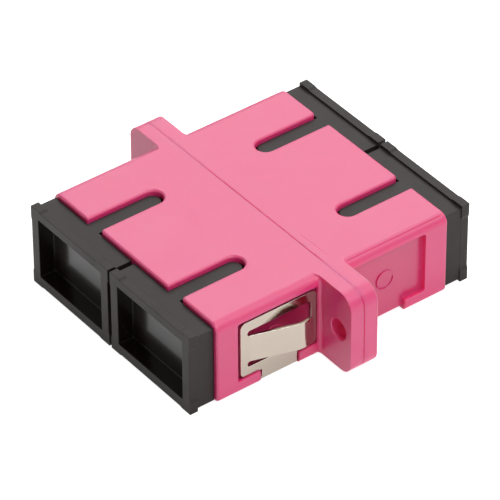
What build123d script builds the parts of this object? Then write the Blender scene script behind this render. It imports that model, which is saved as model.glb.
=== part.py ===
# Duplex SC fibre adapter with its dust caps in place.
# Two moulded housing halves are welded at the middle of the flange. They trap four latch holders and
# two split sleeves. One spring clip wraps round the front half, and a dust cap closes each port.
# X runs along the flange, Y along the fibres and Z up. The origin lies on the surface that the cap
# rims rest on, below the middle of the flange and half way between the two ports.

import os
from math import cos, radians, sin, tan

from build123d import *

# Driving dimensions, in millimetres and degrees

# Ports and housing walls
port_pitch = 12.7
port_width = 9.05
port_height = 7.4
port_corner_radius = 0.3
side_wall = 2.025
top_wall = 0.91
bottom_wall = 0.81
body_length = 27.3
body_top_radius = 1.0
body_bottom_radius = 0.45
end_edge_radius = 0.26

# Flange
flange_thickness = 3.12
ear_length_right = 4.55
ear_length_left = 4.2
ear_top_radius_right = 1.7
ear_bottom_radius_right = 1.45
ear_top_radius_left = 1.35
ear_bottom_radius_left = 0.8
flange_root_radius = 0.33
screw_hole_diameter = 2.2
screw_hole_offset = 2.65
screw_hole_edge = 0.12
seam_groove = 0.02

# Key slots in the top wall
key_slot_width = 2.05
key_slot_length = 7.95
key_slot_mouth_radius = 0.45

# Clip recess in each side, and the channel that carries the strap under the body
recess_depth = 0.5
recess_flange_margin = 0.36
recess_end_margin_front = 2.4
recess_end_margin_rear = 2.67
recess_top_margin = 0.96
recess_bottom_margin = 1.31
recess_corner_radius = 0.25
panel_length = 2.28
panel_depth = 0.08
mark_radius = 1.03
mark_height = 0.1
mark_from_panel = 2.27
channel_depth = 0.32
channel_length = 4.55
channel_from_recess = 2.15

# Latch holders
plate_thickness = 1.35
plate_side_lip = 0.6
plate_edge_lip = 0.2
plate_corner_radius = 0.4
plate_clearance = 0.08
tube_wall = 0.7
tube_lip_length = 0.55
tube_root_radius = 0.4
ferrule_bore = 2.7
hook_thickness = 0.8
hook_wall_gap = 0.27
hook_height = 3.0
hook_catch = 6.7
hook_nose = 0.7
hook_nose_length = 0.45
hook_ramp_length = 0.85

# Split sleeves
sleeve_diameter = 3.2
sleeve_bore = 2.49
sleeve_length = 11.4
sleeve_slit = 0.4
sleeve_edge = 0.12
sleeve_clearance = 0.05

# Spring clip
sheet = 0.25
clip_standoff = 0.05
clip_flange_clearance = 0.06
clip_end_clearance = 0.48
clip_top_clearance = 0.43
clip_bottom_clearance = 0.05
clip_corner_radius = 0.6
bar_by_flange = 0.6
bar_top = 1.1
bar_bottom = 1.0
bar_at_root = 0.77
window_corner_radius = 0.3
tongue_slot = 0.62
tongue_fold_margin = 0.35
tongue_fold_bend = 0.6
tongue_angle = 17.8
tongue_tip_angle = 30.0
tongue_tip_bend = 2.2
tongue_lip = 0.35
tongue_tip_clearance = 0.25
tongue_corner_radius = 0.8
strap_flange_clearance = 0.15
strap_end_clearance = 0.31
strap_standoff = 0.12
strap_bend = 0.15
strap_root_radius = 0.4

# Dust caps
cap_seat_gap = 0.05
collar_gap = 0.56
collar_top_drop = 0.485
collar_bottom_rise = 0.155
collar_length = 1.94
rim_step = 0.11
rim_overhang = 0.305
rim_thickness = 0.9
rim_pad = 1.3
rim_pad_height = 0.1
rim_pad_ramp = 0.35
pocket_side_wall = 1.13
pocket_top_wall = 1.0
pocket_bottom_wall = 1.14
pocket_depth = 1.69
pocket_draft = 2.0
pocket_corner_radius = 0.12
plug_clearance = 0.05
plug_wall = 0.9
plug_length = 7.63
plug_corner_radius = 0.35
plug_lead = 0.3
key_side_clearance = 0.15
key_end_clearance = 0.27
hook_clearance = 0.25
hook_tip_clearance = 0.5

# Sizes worked out from the above
half_length = body_length / 2
body_width = port_pitch + port_width + 2 * side_wall
body_height = port_height + top_wall + bottom_wall
flange_half = flange_thickness / 2
body_base = rim_overhang - collar_bottom_rise
body_middle = body_base + body_height / 2
port_rise = (bottom_wall - top_wall) / 2
recess_start = flange_half + recess_flange_margin
recess_ends = {-1: half_length - recess_end_margin_front, 1: half_length - recess_end_margin_rear}
recess_top = body_height / 2 - recess_top_margin
recess_bottom = recess_bottom_margin - body_height / 2
recess_floor = body_width / 2 - recess_depth
channel_start = recess_start + channel_from_recess
channel_end = channel_start + channel_length
channel_floor = channel_depth - body_height / 2
tube_bore = sleeve_diameter + 2 * sleeve_clearance
tube_diameter = tube_bore + 2 * tube_wall
tube_length = sleeve_length / 2 + sleeve_clearance + tube_lip_length
hook_outer = port_width / 2 - hook_wall_gap
hook_inner = hook_outer - hook_thickness
hook_catch_at = plate_thickness + hook_catch
hook_tip = hook_catch_at + hook_nose_length + hook_ramp_length
collar_start = half_length + cap_seat_gap
rim_back = collar_start + collar_length
rim_face = rim_back + rim_thickness
plug_end = collar_start - plug_length
slot_end = half_length - key_slot_length

# Clip: distances out of the port, heights about the body's middle and reach along X
clip_inner = recess_floor + clip_standoff
clip_start = recess_start + clip_flange_clearance
clip_finish = recess_ends[-1] - clip_end_clearance
clip_low = recess_bottom + clip_bottom_clearance
clip_high = recess_top - clip_top_clearance
window_start = clip_start + bar_by_flange
window_low = clip_low + bar_bottom
window_high = clip_high - bar_top
slot_root = clip_finish - bar_at_root
fold = slot_root - tongue_fold_margin
strap_start = channel_start + strap_flange_clearance
strap_finish = channel_end - strap_end_clearance
strap_inner = channel_floor - strap_standoff

# Dust caps: heights about the port's middle, apart from collar_top, which is above the surface
collar_top = body_base + body_height - collar_top_drop
collar_height = body_height - collar_top_drop - collar_bottom_rise
collar_width = port_pitch - collar_gap
collar_rise = (collar_bottom_rise - collar_top_drop) / 2 - port_rise
rim_width = collar_width + 2 * rim_step
rim_height = collar_height + 2 * rim_overhang
plug_width = port_width - 2 * plug_clearance
plug_height = port_height - 2 * plug_clearance
key_width = key_slot_width - 2 * key_side_clearance
past = 1.0  # how far a cutting shape runs past the face that it opens


# Planes: end is -1 for the front half and 1 for the rear half, side is -1 for left and 1 for right
def end_plane(end, out=0.0, across=0.0, rise=0.0):
    # Local x across, local y up and local z out of the port, starting at the seam
    return Plane((across, end * out, body_middle + rise), x_dir=(-end, 0, 0), z_dir=(0, end, 0))


def port_plane(end, side, out=0.0):
    return end_plane(end, out, side * port_pitch / 2, port_rise)


def side_plane(end, reach):
    # Local x out of the port and local y up, at a distance along X
    return Plane((reach, 0, body_middle), x_dir=(0, end, 0), z_dir=(end, 0, 0))


def top_plane(end, height):
    # Local x across, local y out of the port and local z down
    return Plane((0, 0, height), x_dir=(-end, 0, 0), z_dir=(0, 0, -1))


def span(low, high):
    # Middle and length of a stretch
    return (low + high) / 2, high - low


def out_of(end, shape):
    # Distance of a shape's middle from the seam
    return end * shape.center().Y


# Small fillet where one side of the body runs into the flange: a hollow profile swept down the side
def root_fillet(end, local):
    side, high, low = local * body_width / 2, body_height / 2, -body_height / 2
    top_turn, bottom_turn = body_top_radius, body_bottom_radius
    radius, overlap = flange_root_radius, 0.05
    outline_plane = end_plane(end, out=flange_half)
    start = outline_plane.from_local_coords(Vector(side - local * top_turn, high, 0))
    with BuildPart() as root:
        with BuildLine(outline_plane):
            RadiusArc((side - local * top_turn, high), (side, high - top_turn), local * top_turn)
            Line((side, high - top_turn), (side, low + bottom_turn))
            RadiusArc((side, low + bottom_turn), (side - local * bottom_turn, low), local * bottom_turn)
        # Local x away from the body and local y out of the port
        with BuildSketch(Plane(start, x_dir=(0, 0, 1), z_dir=(-1, 0, 0) if end > 0 else (1, 0, 0))):
            with BuildLine():
                Polyline((0, radius), (-overlap, radius), (-overlap, -overlap), (radius, -overlap), (radius, 0))
                RadiusArc((radius, 0), (0, radius), radius)
            make_face()
        sweep()
        split(bisect_by=Plane((0, 0, body_base + body_height)), keep=Keep.BOTTOM)
        split(bisect_by=Plane((0, 0, body_base)), keep=Keep.TOP)
    return root.part


# Housing halves
def housing_half(end):
    out = Axis((0, 0, body_middle), (0, end, 0))
    top_radii = {1: ear_top_radius_right, -1: ear_top_radius_left}
    bottom_radii = {1: ear_bottom_radius_right, -1: ear_bottom_radius_left}
    local_right = -end
    recess_end = recess_ends[end]
    with BuildPart() as half:
        with BuildSketch(end_plane(end)) as body_section:
            Rectangle(body_width, body_height)
            fillet(body_section.vertices().group_by(Axis.Y)[-1], body_top_radius)
            fillet(body_section.vertices().group_by(Axis.Y)[0], body_bottom_radius)
        extrude(amount=half_length)

        # Flange with its two ears, flush with the body above and below
        flange_left = -body_width / 2 - ear_length_left
        ear_middle, flange_width = span(flange_left, body_width / 2 + ear_length_right)
        with BuildSketch(end_plane(end)) as flange_section:
            with Locations((local_right * ear_middle, 0)):
                Rectangle(flange_width, body_height)
            for ear, side in ((-1, local_right), (0, -local_right)):
                for level, radii in ((0, bottom_radii), (-1, top_radii)):
                    corners = flange_section.vertices().group_by(Axis.X)[ear]
                    fillet(corners.sort_by(Axis.Y)[level], radii[side])
        extrude(amount=flange_half)

        for local in (-1, 1):
            add(root_fillet(end, local))

        # Ports and the wider pockets at the seam that hold the latch holders
        with BuildSketch(end_plane(end, rise=port_rise)) as port_section:
            with GridLocations(port_pitch, 0, 2, 1):
                Rectangle(port_width, port_height)
            fillet(port_section.vertices(), port_corner_radius)
        extrude(amount=half_length, mode=Mode.SUBTRACT)
        with BuildSketch(end_plane(end, rise=port_rise)):
            with GridLocations(port_pitch, 0, 2, 1):
                RectangleRounded(
                    port_width + 2 * (plate_side_lip + plate_clearance),
                    port_height + 2 * (plate_edge_lip + plate_clearance),
                    plate_corner_radius,
                )
        extrude(amount=plate_thickness + plate_clearance, mode=Mode.SUBTRACT)

        # Key slots, open at the end and round at the inner end
        slot_middle, slot_run = span(slot_end + key_slot_width / 2, half_length + past)
        with BuildSketch(top_plane(end, body_base + body_height)):
            with Locations((-port_pitch / 2, slot_middle), (port_pitch / 2, slot_middle)):
                Rectangle(key_slot_width, slot_run)
            round_end = slot_end + key_slot_width / 2
            with Locations((-port_pitch / 2, round_end), (port_pitch / 2, round_end)):
                Circle(key_slot_width / 2)
        extrude(amount=body_height / 2, mode=Mode.SUBTRACT)

        # Clip recess in each side, with its deeper panel and a low round mark
        recess_middle, recess_run = span(recess_start, recess_end)
        recess_centre, recess_height = span(recess_bottom, recess_top)
        panel_middle = recess_end - panel_length / 2
        mark_at = recess_end - panel_length - mark_from_panel
        for side in (-1, 1):
            inward = -side * end
            with BuildSketch(side_plane(end, side * body_width / 2)):
                with Locations((recess_middle, recess_centre)):
                    RectangleRounded(recess_run, recess_height, recess_corner_radius)
            extrude(amount=inward * recess_depth, mode=Mode.SUBTRACT)
            with BuildSketch(side_plane(end, side * recess_floor)):
                with Locations((panel_middle, recess_centre)):
                    RectangleRounded(panel_length, recess_height, recess_corner_radius)
            extrude(amount=inward * panel_depth, mode=Mode.SUBTRACT)
            with BuildSketch(side_plane(end, side * recess_floor)):
                with Locations((mark_at, 0)):
                    Circle(mark_radius)
            extrude(amount=-inward * mark_height)

        # Channel for the clip's strap, round the lower corners and under the body
        with BuildSketch(end_plane(end, out=channel_start)):
            cut_middle, cut_height = span(-body_height / 2 - past, recess_centre)
            with Locations((0, cut_middle)):
                Rectangle(body_width + 2 * past, cut_height)
            core_middle, core_height = span(channel_floor, recess_centre)
            with BuildSketch(mode=Mode.SUBTRACT) as core_section:
                with Locations((0, core_middle)):
                    Rectangle(2 * recess_floor, core_height)
                fillet(core_section.vertices().group_by(Axis.Y)[0], strap_bend)
        extrude(amount=channel_length, mode=Mode.SUBTRACT)

        # Screw holes in the ears, with a broken edge
        with BuildSketch(end_plane(end)):
            with GridLocations(body_width + 2 * screw_hole_offset, 0, 2, 1):
                Circle(screw_hole_diameter / 2)
        extrude(amount=flange_half, mode=Mode.SUBTRACT)
        rims = half.edges().filter_by(GeomType.CIRCLE).filter_by(
            lambda edge: abs(edge.radius - screw_hole_diameter / 2) < 0.01
        )
        fillet(rims.filter_by(lambda edge: abs(out_of(end, edge) - flange_half) < 0.01), screw_hole_edge)

        # One corner of each slot's mouth is rounded, then the end face gets a soft outer edge
        mouth = half.edges().filter_by(Axis.Z).filter_by(lambda edge: out_of(end, edge) > half_length - 0.01)
        slot_sides = [local * port_pitch / 2 + key_slot_width / 2 for local in (-1, 1)]
        fillet(
            [edge for edge in mouth if min(abs(-end * edge.center().X - at) for at in slot_sides) < 0.01],
            key_slot_mouth_radius,
        )
        end_face = half.faces().sort_by(out)[-1]
        fillet(end_face.outer_wire().edges(), end_edge_radius)

        # Fine groove where the two halves are welded
        seam_face = half.faces().sort_by(out)[0]
        chamfer(seam_face.outer_wire().edges(), seam_groove)
    return half


# Latch holders: a plate, a tube for half of the sleeve, and two spring hooks
def latch_holder(end, side):
    with BuildPart() as holder:
        with BuildSketch(port_plane(end, side)):
            RectangleRounded(
                port_width + 2 * plate_side_lip, port_height + 2 * plate_edge_lip, plate_corner_radius
            )
        extrude(amount=plate_thickness)
        with BuildSketch(port_plane(end, side, plate_thickness)):
            Circle(tube_diameter / 2)
        extrude(amount=tube_length - plate_thickness)
        root = holder.edges().filter_by(GeomType.CIRCLE)
        fillet(root.filter_by(lambda edge: abs(out_of(end, edge) - plate_thickness) < 0.01), tube_root_radius)
        with BuildSketch(port_plane(end, side)):
            Circle(tube_bore / 2)
        extrude(amount=tube_length - tube_lip_length, mode=Mode.SUBTRACT)
        with BuildSketch(port_plane(end, side)):
            Circle(ferrule_bore / 2)
        extrude(amount=tube_length, mode=Mode.SUBTRACT)

        # Hook arms, drawn in plan
        plan = Plane(port_plane(end, side).origin, x_dir=(-end, 0, 0), z_dir=(0, 0, -1))
        with BuildSketch(plan):
            with BuildLine():
                Polyline(
                    (hook_outer, plate_thickness - plate_clearance),
                    (hook_outer, hook_tip),
                    (hook_inner, hook_tip),
                    (hook_inner - hook_nose, hook_catch_at + hook_nose_length),
                    (hook_inner - hook_nose, hook_catch_at),
                    (hook_inner, hook_catch_at),
                    (hook_inner, plate_thickness - plate_clearance),
                    close=True,
                )
            make_face()
            mirror(about=Plane.YZ)
        extrude(amount=hook_height / 2, both=True)
    return holder


# Split sleeve: a slit ceramic tube with broken edges
def split_sleeve(side):
    with BuildPart() as sleeve:
        with BuildSketch(port_plane(1, side)):
            Circle(sleeve_diameter / 2)
            Circle(sleeve_bore / 2, mode=Mode.SUBTRACT)
        extrude(amount=sleeve_length / 2, both=True)
        chamfer(sleeve.edges().filter_by(GeomType.CIRCLE), sleeve_edge)
        with BuildSketch(port_plane(1, side)):
            with Locations((0, -sleeve_diameter / 2)):
                Rectangle(sleeve_slit, sleeve_diameter)
        extrude(amount=sleeve_length, both=True, mode=Mode.SUBTRACT)
    return sleeve


# Spring clip: one folded sheet, made as its right half and mirrored
def spring_clip(end):
    with BuildPart() as clip:
        # Side plate with its window, and the two slots that run past the fold
        plate_middle, plate_run = span(clip_start, clip_finish)
        plate_centre, plate_height = span(clip_low, clip_high)
        window_middle, window_run = span(window_start, fold)
        window_centre, window_height = span(window_low, window_high)
        slot_middle, slot_run = span(window_middle, slot_root)
        with BuildSketch(side_plane(end, clip_inner)):
            with Locations((plate_middle, plate_centre)):
                RectangleRounded(plate_run, plate_height, clip_corner_radius)
            with Locations((window_middle, window_centre)):
                RectangleRounded(window_run, window_height, window_corner_radius, mode=Mode.SUBTRACT)
            with Locations((slot_middle, window_centre)):
                with GridLocations(0, window_height - tongue_slot, 1, 2):
                    SlotOverall(slot_run, tongue_slot, mode=Mode.SUBTRACT)
        extrude(amount=end * sheet)

        # Tongue, folded out of the window and bent back at its tip
        tongue_centre, tongue_width = span(window_low + tongue_slot, window_high - tongue_slot)
        tip_turn = radians(tongue_angle + tongue_tip_angle)
        tangent = tongue_tip_bend * tan(tip_turn / 2)
        ramp = fold - window_start - tongue_tip_clearance - tongue_lip - tongue_tip_bend * tip_turn
        rise = ramp + tangent
        knee = (fold - rise * cos(radians(tongue_angle)), clip_inner + rise * sin(radians(tongue_angle)))
        reach = tongue_lip + tangent
        tip = (
            knee[0] - reach * cos(radians(tongue_tip_angle)),
            knee[1] - reach * sin(radians(tongue_tip_angle)),
        )
        tongue_plan = Plane((0, 0, body_middle + tongue_centre), x_dir=(0, end, 0), z_dir=(0, 0, -end))
        with BuildSketch(tongue_plan):
            with BuildLine():
                FilletPolyline(
                    (slot_root, clip_inner),
                    (fold, clip_inner),
                    knee,
                    tip,
                    radius=[tongue_fold_bend, tongue_tip_bend],
                )
                offset(amount=sheet, side=Side.RIGHT)
            make_face()
        extrude(amount=tongue_width / 2, both=True)
        tip_end = tongue_plan.from_local_coords(Vector(*tip))
        tip_edges = clip.edges().filter_by(lambda edge: abs(edge.length - sheet) < 0.001)
        fillet(tip_edges.sort_by(lambda edge: (edge.center() - tip_end).length)[:2], tongue_corner_radius)

        # Strap that runs down through the channel and under the body
        with BuildSketch(end_plane(end, strap_start)):
            with BuildLine():
                FilletPolyline(
                    (0, strap_inner),
                    (clip_inner, strap_inner),
                    (clip_inner, clip_low + bar_bottom / 2),
                    radius=strap_bend,
                )
                offset(amount=sheet, side=Side.RIGHT)
            make_face()
        extrude(amount=strap_finish - strap_start)
        corners = clip.edges().filter_by(Axis.X).filter_by(lambda edge: abs(edge.length - sheet) < 0.001)
        root = Vector(clip_inner + sheet / 2, end * strap_start, body_middle + clip_low)
        fillet(corners.sort_by(lambda edge: (edge.center() - root).length)[0], strap_root_radius)
        mirror(about=Plane.YZ)
    return clip


# Dust caps: a plug with a key for the slot, a collar that meets the housing, and a rim round a pocket
def dust_cap(end, side):
    with BuildPart() as cap:
        # Hollow plug, chamfered where it enters the port
        with BuildSketch(port_plane(end, side, plug_end)):
            RectangleRounded(plug_width, plug_height, plug_corner_radius)
        extrude(amount=plug_length)
        nose = cap.faces().sort_by(Axis((0, 0, 0), (0, end, 0)))[0]
        chamfer(nose.outer_wire().edges(), plug_lead)

        # Key on top of the plug, with a round end
        key_start = slot_end + key_end_clearance
        key_middle, key_run = span(key_start + key_width / 2, collar_start)
        with BuildSketch(top_plane(end, collar_top)):
            with Locations((-end * side * port_pitch / 2, key_middle)):
                Rectangle(key_width, key_run)
            with Locations((-end * side * port_pitch / 2, key_start + key_width / 2)):
                Circle(key_width / 2)
        extrude(amount=collar_top - body_middle - port_rise - plug_height / 2 + plug_wall / 2)

        # Collar, and a rim whose four corners stand a little proud
        with BuildSketch(port_plane(end, side, collar_start)):
            with Locations((0, collar_rise)):
                Rectangle(collar_width, collar_height)
        extrude(amount=collar_length)
        with BuildSketch(port_plane(end, side, rim_back)):
            with Locations((0, collar_rise)):
                Rectangle(rim_width, rim_height)
                for turn, length, reach in ((0, rim_width, rim_height / 2), (90, rim_height, rim_width / 2)):
                    low, high = length / 2 - rim_pad - rim_pad_ramp, length / 2 - rim_pad
                    dip = rim_pad_height
                    with Locations(Location((0, 0), turn)):
                        with GridLocations(0, 2 * reach, 1, 2):
                            Polygon(
                                (high, 0), (low, dip), (-low, dip), (-high, 0), (-low, -dip), (low, -dip),
                                mode=Mode.SUBTRACT,
                            )
        extrude(amount=rim_thickness)

        # Drafted pocket in the outer face
        pocket_centre, pocket_height = span(pocket_bottom_wall - rim_height / 2, rim_height / 2 - pocket_top_wall)
        with BuildSketch(port_plane(end, side, rim_face)):
            with Locations((0, collar_rise + pocket_centre)):
                RectangleRounded(rim_width - 2 * pocket_side_wall, pocket_height, pocket_corner_radius)
        extrude(amount=-pocket_depth, taper=pocket_draft, mode=Mode.SUBTRACT)

        # Inside of the plug, with openings in its sides for the spring hooks
        with BuildSketch(port_plane(end, side, plug_end)):
            Rectangle(plug_width - 2 * plug_wall, plug_height - 2 * plug_wall)
        extrude(amount=plug_length, mode=Mode.SUBTRACT)
        with BuildSketch(port_plane(end, side, plug_end)):
            Rectangle(plug_width + past, hook_height + 2 * hook_clearance)
        extrude(amount=hook_tip + hook_tip_clearance - plug_end, mode=Mode.SUBTRACT)
    return cap


ends = {"front": -1, "rear": 1}
sides = {"left": -1, "right": 1}
pieces = {f"housing_{name}": housing_half(end) for name, end in ends.items()}
pieces["panel_clip"] = spring_clip(ends["front"])
for side_name, side in sides.items():
    pieces[f"sleeve_{side_name}"] = split_sleeve(side)
    for end_name, end in ends.items():
        pieces[f"latch_holder_{end_name}_{side_name}"] = latch_holder(end, side)
        pieces[f"dust_cap_{end_name}_{side_name}"] = dust_cap(end, side)

os.makedirs("parts", exist_ok=True)
for name, piece in pieces.items():
    piece.part.label = name
    export_step(piece.part, f"parts/{name}.step")
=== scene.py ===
from math import cos, pi, radians, sin

import bpy
from mathutils import Matrix, Vector


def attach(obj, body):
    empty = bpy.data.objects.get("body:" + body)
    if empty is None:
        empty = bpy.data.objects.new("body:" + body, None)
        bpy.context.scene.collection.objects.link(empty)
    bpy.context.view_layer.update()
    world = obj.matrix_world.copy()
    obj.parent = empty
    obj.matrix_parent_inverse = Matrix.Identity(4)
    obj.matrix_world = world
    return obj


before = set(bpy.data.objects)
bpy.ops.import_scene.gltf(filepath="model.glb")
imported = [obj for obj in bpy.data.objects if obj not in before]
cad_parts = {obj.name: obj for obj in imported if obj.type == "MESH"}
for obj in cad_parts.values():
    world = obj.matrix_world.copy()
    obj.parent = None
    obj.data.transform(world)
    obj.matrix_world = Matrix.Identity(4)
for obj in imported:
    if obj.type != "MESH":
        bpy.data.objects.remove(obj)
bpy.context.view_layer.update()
mm = 0.001
bodyMiddle = 4.71 * mm  # height of the housing's middle above the floor
white = (1.0, 1.0, 1.0, 1.0)
print("frame loaded:", len(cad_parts), "CAD nodes")


# Small helpers for node trees

def addNode(tree, kind, inputs=None, **settings):
    node = tree.nodes.new(kind)
    for name, value in settings.items():
        setattr(node, name, value)
    for socket, value in (inputs or {}).items():
        if isinstance(value, bpy.types.NodeSocket):
            tree.links.new(value, node.inputs[socket])
        else:
            node.inputs[socket].default_value = value
    return node


def calc(tree, operation, *values, clamp=False):
    node = addNode(tree, "ShaderNodeMath", dict(enumerate(values)), operation=operation, use_clamp=clamp)
    return node.outputs[0]


def calcVector(tree, operation, *values):
    node = addNode(tree, "ShaderNodeVectorMath", dict(enumerate(values)), operation=operation)
    return node.outputs["Value" if operation == "DOT_PRODUCT" else "Vector"]


def fitRange(tree, value, span, result):
    # carries span over to result and holds what lies outside at its ends
    limits = {1: span[0], 2: span[1], 3: result[0], 4: result[1]}
    return addNode(tree, "ShaderNodeMapRange", {0: value, **limits}).outputs[0]


def mixColours(tree, mask, first, second):
    return addNode(tree, "ShaderNodeMix", {0: mask, 6: first, 7: second}, data_type="RGBA").outputs[2]


def mixNumbers(tree, mask, first, second):
    return addNode(tree, "ShaderNodeMix", {0: mask, 2: first, 3: second}, data_type="FLOAT").outputs[0]


def newGroup(name, inputs, outputs):
    group = bpy.data.node_groups.new(name, "ShaderNodeTree")
    for direction, sockets in (("INPUT", inputs), ("OUTPUT", outputs)):
        for label, kind in sockets.items():
            group.interface.new_socket(label, in_out=direction, socket_type="NodeSocket" + kind)
    return group, group.nodes.new("NodeGroupInput").outputs, group.nodes.new("NodeGroupOutput").inputs


def placeGroup(tree, group, **inputs):
    return addNode(tree, "ShaderNodeGroup", inputs, node_tree=group)


def newMaterial(name):
    material = bpy.data.materials.new(name)
    material.use_nodes = True
    tree = material.node_tree
    return material, tree, tree.nodes["Principled BSDF"]


# Effects that several finishes share

def edgeGroup():
    # 1 on a rounded edge, 0 on flat faces, where the finishes paint their edge highlight; also gives the
    # rounded normal
    group, given, out = newGroup(
        "roundedEdge", {"Radius": "Float", "Gain": "Float"}, {"Mask": "Float", "Normal": "Vector"}
    )
    bevel = addNode(group, "ShaderNodeBevel", {"Radius": given["Radius"]}, samples=6)
    surface = addNode(group, "ShaderNodeNewGeometry")
    facing = calcVector(group, "DOT_PRODUCT", bevel.outputs[0], surface.outputs["Normal"])
    away = calc(group, "SUBTRACT", 1.0, facing)
    group.links.new(calc(group, "MULTIPLY", away, given["Gain"], clamp=True), out["Mask"])
    group.links.new(bevel.outputs[0], out["Normal"])
    return group


def grainGroup():
    # Fine skin of a moulded or rolled surface: Height for a Bump node, and a slow Cloud for colour and gloss
    group, given, out = newGroup(
        "surfaceGrain", {"Grain": "Float", "Cloud": "Float", "Wave": "Float", "Stretch": "Vector"},
        {"Height": "Float", "Cloud": "Float"},
    )
    place = addNode(group, "ShaderNodeTexCoord")
    stretched = calcVector(group, "MULTIPLY", place.outputs["Object"], given["Stretch"])
    grain = addNode(
        group, "ShaderNodeTexNoise",
        {"Vector": stretched, "Scale": given["Grain"], "Detail": 3.0, "Roughness": 0.55},
    )
    cloud = addNode(
        group, "ShaderNodeTexNoise",
        {"Vector": stretched, "Scale": given["Cloud"], "Detail": 5.0, "Roughness": 0.6, "Distortion": 0.6},
    )
    wave = calc(group, "MULTIPLY", cloud.outputs["Fac"], given["Wave"])
    group.links.new(calc(group, "ADD", grain.outputs["Fac"], wave), out["Height"])
    group.links.new(cloud.outputs["Fac"], out["Cloud"])
    return group


def boxGroup():
    # 1 inside a box that is mirrored to the left and the front, 0 outside, with a soft border
    group, given, out = newGroup(
        "insideBox", {"Centre": "Vector", "Half": "Vector", "Border": "Float"}, {"Mask": "Float"}
    )
    place = addNode(group, "ShaderNodeTexCoord")
    folded = calcVector(group, "ABSOLUTE", place.outputs["Object"])
    away = calcVector(group, "ABSOLUTE", calcVector(group, "SUBTRACT", folded, given["Centre"]))
    past = addNode(group, "ShaderNodeSeparateXYZ", {0: calcVector(group, "SUBTRACT", away, given["Half"])})
    most = calc(group, "MAXIMUM", past.outputs["X"], past.outputs["Y"])
    most = calc(group, "MAXIMUM", most, past.outputs["Z"])
    borders = calc(group, "DIVIDE", most, given["Border"])
    group.links.new(calc(group, "SUBTRACT", 0.5, borders, clamp=True), out["Mask"])
    return group


edgeEffect = edgeGroup()
grainEffect = grainGroup()
boxEffect = boxGroup()


def insideBox(tree, box):
    node = placeGroup(tree, boxEffect, Centre=box["centre"], Half=box["half"], Border=box["border"])
    return node.outputs["Mask"]


# Finishes

plainLook = {  # what a finish has unless its own look says otherwise
    "noiseSpan": (0.25, 0.75),  # where most of a noise's values lie, carried over to the roughness
    "glossFrom": "Cloud",
    "wave": 0.0,
    "stretch": (1.0, 1.0, 1.0),
    "specular": 0.5,
    "metallic": 0.0,
}


def paleEnds(tree, pale):
    # 1 where the seam on the top runs out into the ears, 0 along its middle and down the sides; there the
    # seam fades out, and its pale colour is partly a painted highlight that cancels the ridge's own shade
    place = addNode(tree, "ShaderNodeTexCoord")
    at = addNode(tree, "ShaderNodeSeparateXYZ", {0: place.outputs["Object"]})
    right = fitRange(tree, at.outputs["X"], pale["right"], (0.0, 1.0))
    left = fitRange(tree, at.outputs["X"], pale["left"], (0.0, pale["leftMost"]))
    top = fitRange(tree, at.outputs["Z"], pale["top"], (0.0, 1.0))
    return calc(tree, "MULTIPLY", calc(tree, "MAXIMUM", right, left), top)


def makeFinish(name, ownLook):
    look = {**plainLook, **ownLook}
    material, tree, shader = newMaterial(name)
    grain = placeGroup(
        tree, grainEffect, Grain=look["grain"], Cloud=look["cloud"], Wave=look["wave"],
        Stretch=look["stretch"],
    )
    edge = placeGroup(tree, edgeEffect, Radius=look["edgeRadius"], Gain=look["edgeGain"])
    colour = mixColours(tree, grain.outputs["Cloud"], look["dark"], look["light"])
    if "pale" in look:
        colour = mixColours(tree, paleEnds(tree, look["pale"]), colour, look["pale"]["colour"])
    # painted shade: the side recess is painted darker inside a box
    if "recess" in look:
        colour = mixColours(tree, insideBox(tree, look["recess"]), colour, look["recess"]["colour"])
    # painted highlight: rounded edges are painted in a lighter colour
    colour = mixColours(tree, edge.outputs["Mask"], colour, look["edge"])
    rough = fitRange(tree, grain.outputs[look["glossFrom"]], look["noiseSpan"], look["roughness"])
    height = grain.outputs["Height"]
    if "polished" in look:
        pocket = insideBox(tree, look["polished"])
        rough = mixNumbers(tree, pocket, rough, look["polished"]["roughness"])
        calm = fitRange(tree, pocket, (0.0, 1.0), (1.0, look["polished"]["grain"]))
        height = calc(tree, "MULTIPLY", height, calm)
    if "shine" in look:
        coat = calc(tree, "MULTIPLY", insideBox(tree, look["shine"]), look["shine"]["coat"])
        tree.links.new(coat, shader.inputs["Coat Weight"])
        shader.inputs["Coat Roughness"].default_value = look["shine"]["roughness"]
    if "spread" in look:
        shader.inputs["Subsurface Weight"].default_value = look["spread"]["weight"]
        shader.inputs["Subsurface Radius"].default_value = look["spread"]["colour"]
        shader.inputs["Subsurface Scale"].default_value = look["spread"]["depth"]
    bump = addNode(
        tree, "ShaderNodeBump",
        {"Strength": look["bump"], "Distance": look["bumpDepth"], "Height": height,
         "Normal": edge.outputs["Normal"]},
    )
    tree.links.new(colour, shader.inputs["Base Color"])
    tree.links.new(rough, shader.inputs["Roughness"])
    tree.links.new(bump.outputs[0], shader.inputs["Normal"])
    shader.inputs["Specular IOR Level"].default_value = look["specular"]
    shader.inputs["Metallic"].default_value = look["metallic"]
    return material


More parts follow.
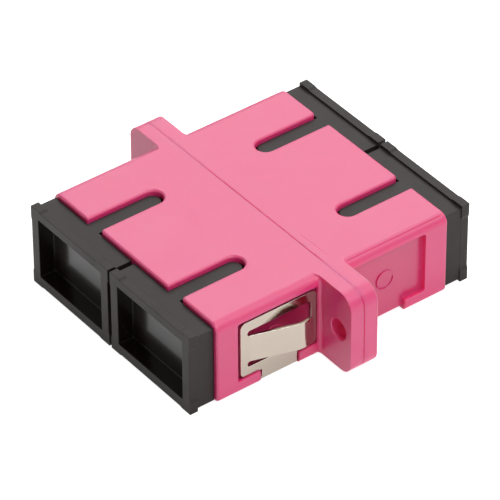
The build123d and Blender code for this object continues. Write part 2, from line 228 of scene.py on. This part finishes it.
pinkLook = {  # what the housing and its fine ridges share
    "edge": (0.93, 0.10, 0.29, 1.0),
    "roughness": (0.28, 0.38),
    "specular": 0.76,
    "grain": 5000.0,
    "cloud": 220.0,
    "wave": 3.0,
    "bumpDepth": 0.01 * mm,
    # painted shade: the side recess, painted darker inside this box
    "recess": {
        "centre": (11.3 * mm, 6.43 * mm, 4.3 * mm), "half": (1.35 * mm, 4.5 * mm, 4.1 * mm),
        "border": 0.1 * mm, "colour": (0.74, 0.045, 0.2, 1.0),
    },
}
housingLook = {
    **pinkLook,
    "dark": (0.85, 0.043, 0.220, 1.0),
    "light": (0.92, 0.075, 0.274, 1.0),
    "bump": 0.12,
    "edgeRadius": 0.05 * mm,
    "edgeGain": 2.0,
    "spread": {"weight": 0.8, "colour": (1.0, 0.12, 0.25), "depth": 0.45 * mm},
}
frontLook = {  # painted shade: the recess behind the clip is painted darker still
    **housingLook,
    "recess": {**pinkLook["recess"], "colour": (0.46, 0.008, 0.09, 1.0)},
}
ridgeLook = {**pinkLook, "roughness": (0.4, 0.5), "bump": 0.0, "edgeRadius": 0.004 * mm, "edgeGain": 0.0}
# colour of the seam and the faint flash line, also used as painted shade on the mark's front arc
flashAndShadeLook = {
    **ridgeLook,
    "dark": (0.86, 0.008, 0.09, 1.0),
    "light": (0.98, 0.02, 0.13, 1.0),
    "specular": 0.15,
    # the seam fades out at its ends; the pale colour there is partly a painted highlight, lighter than the
    # housing
    "pale": {
        "right": (10.2 * mm, 12.2 * mm), "left": (-3.0 * mm, -9.0 * mm), "leftMost": 0.7,
        "top": (8.5 * mm, 9.2 * mm), "colour": (0.99, 0.15, 0.35, 1.0),
    },
}
partingLook = {
    **ridgeLook,
    "dark": (0.84, 0.02, 0.14, 1.0),
    "light": (0.94, 0.03, 0.18, 1.0),
    "specular": 0.2,
}
# pale colour of painted highlights: the ear's rear edge and the mark's rear arc
highlightLook = {
    **ridgeLook,
    "dark": (0.94, 0.22, 0.33, 1.0),
    "light": (0.97, 0.30, 0.38, 1.0),
    "roughness": pinkLook["roughness"],
}
capLook = {
    "dark": (0.0070, 0.0043, 0.0028, 1.0),
    "light": (0.0125, 0.0085, 0.0062, 1.0),
    "edge": (0.03, 0.029, 0.028, 1.0),
    "roughness": (0.47, 0.55),
    "specular": 0.32,
    "grain": 7000.0,
    "cloud": 400.0,
    "bump": 0.15,
    "bumpDepth": 0.01 * mm,
    "edgeRadius": 0.1 * mm,
    "edgeGain": 3.0,
    "polished": {  # the whole pocket, with only this part of its grain left
        "centre": (6.35 * mm, 15.6 * mm, 4.66 * mm), "half": (5.09 * mm, 0.86 * mm, 3.53 * mm),
        "border": 0.03 * mm, "roughness": 0.14, "grain": 0.04,
    },
    "shine": {  # the pocket's back alone
        "centre": (6.35 * mm, 14.85 * mm, 4.66 * mm), "half": (5.09 * mm, 0.1 * mm, 3.53 * mm),
        "border": 0.03 * mm, "coat": 0.4, "roughness": 0.28,
    },
}
holderLook = {
    "dark": (0.70, 0.67, 0.58, 1.0),
    "light": (0.76, 0.73, 0.64, 1.0),
    "edge": (0.8, 0.78, 0.7, 1.0),
    "roughness": (0.4, 0.5),
    "grain": 8000.0,
    "cloud": 400.0,
    "bump": 0.2,
    "bumpDepth": 0.01 * mm,
    "edgeRadius": 0.06 * mm,
    "edgeGain": 3.0,
}
sleeveLook = {
    "dark": (0.82, 0.81, 0.77, 1.0),
    "light": (0.88, 0.87, 0.83, 1.0),
    "edge": (0.9, 0.9, 0.87, 1.0),
    "roughness": (0.12, 0.2),
    "specular": 0.7,
    "grain": 12000.0,
    "cloud": 500.0,
    "bump": 0.05,
    "bumpDepth": 0.005 * mm,
    "edgeRadius": 0.05 * mm,
    "edgeGain": 3.0,
}
steelLook = {
    "dark": (0.425, 0.375, 0.315, 1.0),
    "light": (0.475, 0.425, 0.365, 1.0),
    "edge": (0.86, 0.83, 0.78, 1.0),
    "roughness": (0.12, 0.16),
    "glossFrom": "Height",
    "metallic": 1.0,
    "grain": 3000.0,
    "cloud": 300.0,
    "stretch": (1.0, 0.3, 1.0),  # drawn out along the ports, as the sheet was rolled
    "bump": 0.03,
    "bumpDepth": 0.004 * mm,
    "edgeRadius": 0.05 * mm,
    "edgeGain": 6.0,
}

slotFinishes = {
    "housing_plastic": makeFinish("housingPlastic", housingLook),
    "cap_plastic": makeFinish("capPlastic", capLook),
    "holder_plastic": makeFinish("holderPlastic", holderLook),
    "sleeve_ceramic": makeFinish("sleeveCeramic", sleeveLook),
    "clip_steel": makeFinish("clipSteel", steelLook),
}
ownFinishes = {"housing_front": makeFinish("frontPlastic", frontLook)}  # nodes that differ from their slot
for name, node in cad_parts.items():
    slotName = node.data.materials[0].name.split(".")[0]
    node.data.materials[0] = ownFinishes.get(name, slotFinishes[slotName])
print("finishes on", len(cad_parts), "nodes")


# Moulding flash: fine wavy ridges along paths

ridgeShape = {"sides": 16, "taperSpan": 0.03, "tip": 0.25}  # open ridges thin to that tip at both ends


def flashTree(shape):
    tree = bpy.data.node_groups.new("flashLine", "GeometryNodeTree")
    for label, kind in {
        "Path": "Geometry", "Width": "Float", "Spacing": "Float", "Wander": "Vector", "Waves": "Float",
        "Swell": "Float", "Taper": "Float", "Seed": "Int", "Finish": "Material",
    }.items():
        tree.interface.new_socket(label, in_out="INPUT", socket_type="NodeSocket" + kind)
    tree.interface.new_socket("Ridge", in_out="OUTPUT", socket_type="NodeSocketGeometry")
    given = tree.nodes.new("NodeGroupInput").outputs
    out = tree.nodes.new("NodeGroupOutput").inputs
    path = addNode(tree, "GeometryNodeMeshToCurve", {"Mesh": given["Path"]})
    even = addNode(
        tree, "GeometryNodeResampleCurve", {"Curve": path.outputs[0], "Length": given["Spacing"]},
        mode="LENGTH",
    )
    at = addNode(tree, "GeometryNodeInputPosition")
    drift = addNode(
        tree, "ShaderNodeTexNoise",
        {"Vector": at.outputs[0], "W": given["Seed"], "Scale": given["Waves"], "Detail": 2.0},
        noise_dimensions="4D",
    )
    centred = calcVector(tree, "SUBTRACT", drift.outputs["Color"], (0.5, 0.5, 0.5))
    step = calcVector(tree, "MULTIPLY", centred, given["Wander"])
    moved = addNode(tree, "GeometryNodeSetPosition", {"Geometry": even.outputs[0], "Offset": step})
    along = addNode(tree, "GeometryNodeSplineParameter").outputs["Factor"]
    nearest = calc(tree, "MINIMUM", along, calc(tree, "SUBTRACT", 1.0, along))
    thinned = fitRange(tree, nearest, (0.0, shape["taperSpan"]), (shape["tip"], 1.0))
    tapered = mixNumbers(tree, given["Taper"], 1.0, thinned)
    bulge = calc(tree, "ADD", drift.outputs["Fac"], -0.5)
    swollen = calc(tree, "MULTIPLY_ADD", bulge, given["Swell"], 1.0)
    half = calc(tree, "MULTIPLY", given["Width"], 0.5)
    ring = addNode(tree, "GeometryNodeCurvePrimitiveCircle", {"Resolution": shape["sides"], "Radius": half})
    tube = addNode(
        tree, "GeometryNodeCurveToMesh",
        {"Curve": moved.outputs[0], "Profile Curve": ring.outputs[0],
         "Scale": calc(tree, "MULTIPLY", swollen, tapered), "Fill Caps": True},
    )
    real = addNode(tree, "GeometryNodeRealizeInstances", {"Geometry": tube.outputs[0]})
    dressed = addNode(
        tree, "GeometryNodeSetMaterial", {"Geometry": real.outputs[0], "Material": given["Finish"]}
    )
    tree.links.new(dressed.outputs[0], out["Ridge"])
    return tree


ridgeTree = flashTree(ridgeShape)


def makeFlash(name, paths, plan, finish, closed=False):
    # one mesh of ridges along all the paths, which rides with the housing
    mesh = bpy.data.meshes.new(name + "Path")
    verts, edges = [], []
    for points in paths:
        first = len(verts)
        verts += points
        edges += [(i, i + 1) for i in range(first, len(verts) - 1)]
        if closed:
            edges.append((len(verts) - 1, first))
    mesh.from_pydata(verts, edges, [])
    maker = bpy.data.objects.new(name + "Maker", mesh)
    bpy.context.collection.objects.link(maker)
    modifier = maker.modifiers.new("flash", "NODES")
    modifier.node_group = ridgeTree
    values = {
        "Width": plan["width"], "Spacing": plan["spacing"], "Wander": plan["wander"], "Waves": plan["waves"],
        "Swell": plan["swell"], "Taper": 0.0 if closed else 1.0, "Seed": plan["seed"], "Finish": finish,
    }
    for item in ridgeTree.interface.items_tree:
        if item.in_out == "INPUT" and item.name in values:
            modifier[item.identifier] = values[item.name]
    evaluated = maker.evaluated_get(bpy.context.evaluated_depsgraph_get())
    ridge = bpy.data.meshes.new_from_object(evaluated)
    ridge.name = name
    bpy.data.objects.remove(maker)
    bpy.data.meshes.remove(mesh)
    for face in ridge.polygons:
        face.use_smooth = True
    piece = bpy.data.objects.new(name, ridge)
    bpy.context.collection.objects.link(piece)
    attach(piece, "adapter")


flange = {  # outline seen along the ports, with each corner's radius and the steps round it
    "left": -17.10 * mm, "right": 17.45 * mm, "low": 0.15 * mm, "high": 9.27 * mm,
    "topRight": 1.7 * mm, "topLeft": 1.35 * mm, "bottomLeft": 0.8 * mm, "bottomRight": 1.45 * mm,
    "steps": 8,
}


def flangeCorner(name, right, top, turn, sink):
    # points round one rounded corner, sink inside the flange's edge
    radius = flange[name]
    x = flange["right" if right > 0 else "left"] - right * radius
    z = flange["high" if top > 0 else "low"] - top * radius
    turns = [radians(turn + i * 90 / flange["steps"]) for i in range(flange["steps"] + 1)]
    return [(x + (radius - sink) * cos(a), 0.0, z + (radius - sink) * sin(a)) for a in turns]


ridgePlan = {"spacing": 0.08 * mm, "waves": 1400.0, "seed": 7}
finePlan = {**ridgePlan, "width": 0.12 * mm, "wander": (0.01 * mm, 0.01 * mm, 0.0), "swell": 0.2}

# Seam where the two halves meet, round the whole flange
seamPlan = {
    **ridgePlan, "width": 0.6 * mm, "wander": (0.0, 0.12 * mm, 0.0), "swell": 0.05, "proud": 0.011 * mm
}
seamSink = seamPlan["width"] / 2 - seamPlan["proud"]
seamPath = (
    flangeCorner("topRight", 1, 1, 0, seamSink) + flangeCorner("topLeft", -1, 1, 90, seamSink)
    + flangeCorner("bottomLeft", -1, -1, 180, seamSink) + flangeCorner("bottomRight", 1, -1, 270, seamSink)
)
flashAndShadeFinish = makeFinish("flashAndShadePlastic", flashAndShadeLook)
makeFlash("seam_flash", [seamPath], seamPlan, flashAndShadeFinish, closed=True)

# Parting lines along the rear half's long top edges
partingPlan = {**finePlan, "swell": 0.1, "x": 12.340 * mm, "y": (1.66 * mm, 13.35 * mm), "z": 9.120 * mm}
partingPaths = [
    [(side * partingPlan["x"], y, partingPlan["z"]) for y in partingPlan["y"]] for side in (-1, 1)
]
makeFlash("parting_flash", partingPaths, partingPlan, makeFinish("partingPlastic", partingLook))

# One faint line on the flange's top
faintPlan = {
    **finePlan, "x": (6.5 * mm, 12.7 * mm), "y": (0.84 * mm, 0.98 * mm), "top": 9.27 * mm,
    "proud": 0.0035 * mm,
}
faintZ = faintPlan["top"] - faintPlan["width"] / 2 + faintPlan["proud"]
faintPath = [(x, y, faintZ) for x, y in zip(faintPlan["x"], faintPlan["y"])]
makeFlash("faint_flash", [faintPath], faintPlan, flashAndShadeFinish)

# Raised rim round the low mark in two arcs, whose angles run from the rear over the top; the front arc wears
# the seam's crimson as painted shade, the rear arc a pale painted highlight
highlightFinish = makeFinish("highlightPlastic", highlightLook)
markPlan = {
    **finePlan, "width": 0.14 * mm, "wander": (0.0, 0.0, 0.0), "proud": 0.014 * mm,
    "x": 12.5 * mm, "y": 6.43 * mm, "radius": 1.0 * mm, "step": 5,
    "arcs": {"mark_ring": (flashAndShadeFinish, 110, 285), "painted_highlight_ring": (highlightFinish, -70, 100)},
}
ringX = markPlan["x"] - markPlan["width"] / 2 + markPlan["proud"]
for name, (finish, start, stop) in markPlan["arcs"].items():
    turns = [radians(turn) for turn in range(start, stop + 1, markPlan["step"])]
    arc = [
        (ringX, markPlan["y"] + markPlan["radius"] * cos(a), bodyMiddle + markPlan["radius"] * sin(a))
        for a in turns
    ]
    makeFlash(name, [arc], markPlan, finish)

# Painted highlight: a pale ridge along the right ear's rear edge, where the edge glints
rimPlan = {
    **finePlan, "width": 0.1 * mm, "wander": (0.0, 0.0, 0.0), "sink": 0.04 * mm,
    "y": 1.56 * mm, "bottom": 1.6 * mm, "inner": 12.95 * mm,
}
rimY = rimPlan["y"] - rimPlan["sink"]
rimCorner = [(x, rimY, z) for x, y, z in flangeCorner("topRight", 1, 1, 0, rimPlan["sink"])]
rimPath = (
    [(rimCorner[0][0], rimY, rimPlan["bottom"])] + rimCorner + [(rimPlan["inner"], rimY, rimCorner[-1][2])]
)
makeFlash("glint_ridge", [rimPath], rimPlan, highlightFinish)
print("moulding flash made")


# Floor, lamps and background

floorLook = {
    "size": 3.0,
    "colour": (0.82, 0.82, 0.82, 1.0),
    "roughness": 0.8,
    "seenWhite": 0.8,  # glow that the camera sees
    "mirroredWhite": 0.8,  # glow that metal and gloss show
    # that glow's shade under the object; the box is lower than its border, so the mask stops near 0.6
    "contact": {
        "centre": (0.0, 0.0, 0.0), "half": (13.0 * mm, 16.5 * mm, 1.0 * mm), "border": 8.0 * mm,
        "colour": (0.1, 0.1, 0.1, 1.0),
    },
}
worldLook = {
    "light": 0.13,
    "ceiling": 0.9,  # how bright gloss shows the sky above ceilingSpan, with 1 below it
    "ceilingSpan": (0.25, 0.6),
}


def makeFloor(look):
    half = look["size"] / 2
    mesh = bpy.data.meshes.new("floor")
    corners = [(-half, -half, 0), (half, -half, 0), (half, half, 0), (-half, half, 0)]
    mesh.from_pydata(corners, [], [(0, 1, 2, 3)])
    floor = bpy.data.objects.new("floor", mesh)
    bpy.context.collection.objects.link(floor)
    material, tree, shader = newMaterial("paleFloor")
    shader.inputs["Base Color"].default_value = look["colour"]
    shader.inputs["Roughness"].default_value = look["roughness"]
    rays = addNode(tree, "ShaderNodeLightPath").outputs
    mirrored = calc(tree, "MAXIMUM", rays["Is Glossy Ray"], rays["Is Transmission Ray"])
    hidden = calc(tree, "MULTIPLY", insideBox(tree, look["contact"]), mirrored)
    tint = mixColours(tree, hidden, white, look["contact"]["colour"])
    glow = calc(tree, "MULTIPLY", mirrored, look["mirroredWhite"])
    strength = calc(tree, "MULTIPLY_ADD", rays["Is Camera Ray"], look["seenWhite"], glow)
    tree.links.new(tint, shader.inputs["Emission Color"])
    tree.links.new(strength, shader.inputs["Emission Strength"])
    mesh.materials.append(material)
    material.cycles.emission_sampling = "NONE"  # its glow lights nothing, so no samples go to it


def makeWorld(look):
    world = bpy.data.worlds.new("studio")
    bpy.context.scene.world = world
    world.use_nodes = True
    world.cycles.sampling_method = "NONE"
    tree = world.node_tree
    rays = addNode(tree, "ShaderNodeLightPath").outputs
    place = addNode(tree, "ShaderNodeTexCoord")
    at = addNode(tree, "ShaderNodeSeparateXYZ", {0: place.outputs["Generated"]})
    ceiling = fitRange(tree, at.outputs["Z"], look["ceilingSpan"], (1.0, look["ceiling"]))
    shown = mixNumbers(tree, rays["Is Glossy Ray"], 1.0, ceiling)
    seen = calc(tree, "ADD", rays["Is Camera Ray"], rays["Is Glossy Ray"])
    seen = calc(tree, "ADD", seen, rays["Is Transmission Ray"])
    strength = fitRange(tree, seen, (0.0, 1.0), (look["light"], shown))
    background = tree.nodes["Background"]
    background.inputs["Color"].default_value = white
    tree.links.new(strength, background.inputs["Strength"])


lampPlan = {  # azimuth and elevation as seen from the object, distance and size in metres, radiance
    "backBox": {
        "aim": (229.0, 42.0), "away": 0.6, "size": (0.42, 0.38), "radiance": 2.29,
        "colour": (1.0, 0.97, 0.985),
    },
    "edgeBox": {
        "aim": (160.0, 54.0), "away": 0.8, "size": (0.80, 0.44), "radiance": 1.45,
        "colour": (1.0, 1.0, 1.0),
    },
    "keyBox": {
        "aim": (88.0, 50.0), "away": 0.8, "size": (0.40, 0.40), "radiance": 5.6,
        "colour": (1.0, 1.0, 1.0),
    },
}


def towards(azimuth, elevation):
    a, e = radians(azimuth), radians(elevation)
    return Vector((sin(a) * cos(e), -cos(a) * cos(e), sin(e)))


def makeLamp(name, plan):
    lamp = bpy.data.lights.new(name, "AREA")
    lamp.shape = "RECTANGLE"
    lamp.size, lamp.size_y = plan["size"]
    lamp.color = plan["colour"]
    lamp.energy = plan["radiance"] * pi * lamp.size * lamp.size_y
    holder = bpy.data.objects.new(name, lamp)
    bpy.context.collection.objects.link(holder)
    direction = towards(*plan["aim"])
    holder.location = Vector((0, 0, bodyMiddle)) + direction * plan["away"]
    holder.rotation_mode = "QUATERNION"
    holder.rotation_quaternion = direction.to_track_quat("Z", "Y")


makeFloor(floorLook)
makeWorld(worldLook)
for name, plan in lampPlan.items():
    makeLamp(name, plan)
print("floor, world and", len(lampPlan), "lamps placed")


# Camera, solved from the photograph's edges

cameraPlan = {
    "azimuth": 52.8885,
    "elevation": 38.2827,
    "roll": -0.3379,
    "distance": 0.42166,
    "lens": 319.02,
    "sensor": 36.0,
    "shift": (-0.00052, -0.0184),
    "clip": (0.01, 20.0),
}


def makeCamera(plan):
    lens = bpy.data.cameras.new("camera")
    lens.lens = plan["lens"]
    lens.sensor_width = plan["sensor"]
    lens.shift_x, lens.shift_y = plan["shift"]
    lens.clip_start, lens.clip_end = plan["clip"]
    camera = bpy.data.objects.new("camera", lens)
    bpy.context.collection.objects.link(camera)
    back = towards(plan["azimuth"], plan["elevation"])
    right = Vector((0, 0, 1)).cross(back).normalized()
    up = back.cross(right)
    roll = radians(plan["roll"])
    across = cos(roll) * right + sin(roll) * up
    above = -sin(roll) * right + cos(roll) * up
    turn = Matrix((across, above, back)).transposed()
    place = Vector((0, 0, bodyMiddle)) + back * plan["distance"]
    camera.matrix_world = Matrix.Translation(place) @ turn.to_4x4()
    bpy.context.scene.camera = camera


makeCamera(cameraPlan)
bpy.context.scene.view_settings.view_transform = "Standard"
print("camera placed")

bpy.context.view_layer.update()
